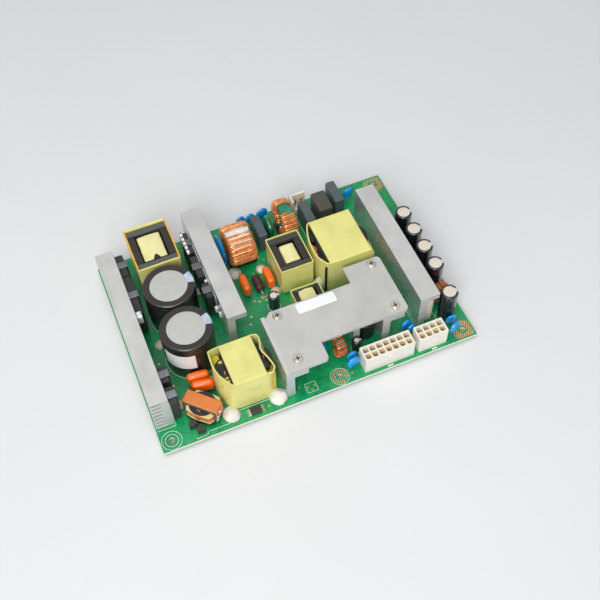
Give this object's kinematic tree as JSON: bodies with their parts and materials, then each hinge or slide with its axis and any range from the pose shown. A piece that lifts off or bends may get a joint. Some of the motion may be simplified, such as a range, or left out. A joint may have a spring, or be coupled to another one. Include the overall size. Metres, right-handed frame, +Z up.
{
  "type": "open frame power supply",
  "caption": "Rectangular open-frame power supply: a circuit board with upright heatsinks, taped transformers, capacitors, a screwed cover plate and output headers at its front edge.",
  "frame": {"origin": "centre of the board's outline at the height of the heatsink pins' tips, which the unit rests on", "axes": "+X along the board's long side, +Y from the output headers' edge to the mains inlet's edge, +Z up from the board to the components"},
  "size_m": [0.19, 0.133, 0.0339],
  "materials": {
    "board": "satin",
    "heatsink_metal": "satin",
    "plate_metal": "brushed",
    "steel": "plain",
    "can_metal": "satin",
    "sleeve_black": "gloss",
    "ferrite": "matte",
    "bobbin_plastic": "satin",
    "yellow_tape": "satin",
    "orange_tape": "satin",
    "copper_wire": "enamelled",
    "green_core": "satin",
    "red_wire": "enamelled",
    "black_plastic": "satin",
    "grey_box": "satin",
    "blue_dip": "gloss",
    "green_dip": "gloss",
    "orange_dip": "gloss",
    "resistor_body": "satin",
    "cream_plastic": "satin",
    "tin": "plated",
    "solder": "bright",
    "insulator": "matte",
    "silicone": "satin"
  },
  "bodies": {
    "root": {"adhesive_dabs": "silicone", "box_capacitors": "grey_box", "bulk_capacitor_cans": "can_metal", "bulk_capacitor_sleeves": "sleeve_black", "centre_transformer_bobbin": "bobbin_plastic", "centre_transformer_core": "ferrite", "centre_transformer_tape": "yellow_tape", "centre_transformer_winding": "yellow_tape", "circuit_board": "board", "cover_left_bracket": "plate_metal", "cover_middle_bracket": "plate_metal", "cover_plate": "plate_metal", "cover_right_bracket": "plate_metal", "cover_screws": "steel", "disc_capacitors": "blue_dip", "driver_transformer_bobbin": "bobbin_plastic", "driver_transformer_core": "ferrite", "driver_transformer_tape": "orange_tape", "driver_transformer_winding": "copper_wire", "drum_choke": "black_plastic", "film_capacitors": "orange_dip", "front_transformer_bobbin": "bobbin_plastic", "front_transformer_core": "ferrite", "front_transformer_tape": "yellow_tape", "front_transformer_winding": "yellow_tape", "header_contacts": "tin", "heatsink_pins": "steel", "inlet_header_housing": "cream_plastic", "input_choke_bases": "black_plastic", "input_choke_cores": "green_core", "input_choke_windings": "copper_wire", "insulator_sheets": "insulator", "large_transformer_bobbin": "bobbin_plastic", "large_transformer_core": "ferrite", "large_transformer_tape": "yellow_tape", "large_transformer_winding": "copper_wire", "left_heatsink": "heatsink_metal", "middle_heatsink": "heatsink_metal", "narrow_header_housing": "cream_plastic", "output_capacitor_cans": "can_metal", "output_capacitor_sleeves": "sleeve_black", "output_choke_cores": "green_core", "output_choke_windings": "red_wire", "package_clips": "steel", "power_packages": "black_plastic", "rear_transformer_bobbin": "bobbin_plastic", "rear_transformer_core": "ferrite", "rear_transformer_tape": "yellow_tape", "rear_transformer_winding": "yellow_tape", "relay": "black_plastic", "resistor": "resistor_body", "right_heatsink": "heatsink_metal", "small_semiconductors": "black_plastic", "small_transformer_bobbin": "bobbin_plastic", "small_transformer_core": "ferrite", "small_transformer_tape": "yellow_tape", "small_transformer_winding": "yellow_tape", "solder_joints": "solder", "varistor": "green_dip", "wide_header_housing": "cream_plastic"}
  },
  "joints": []
}
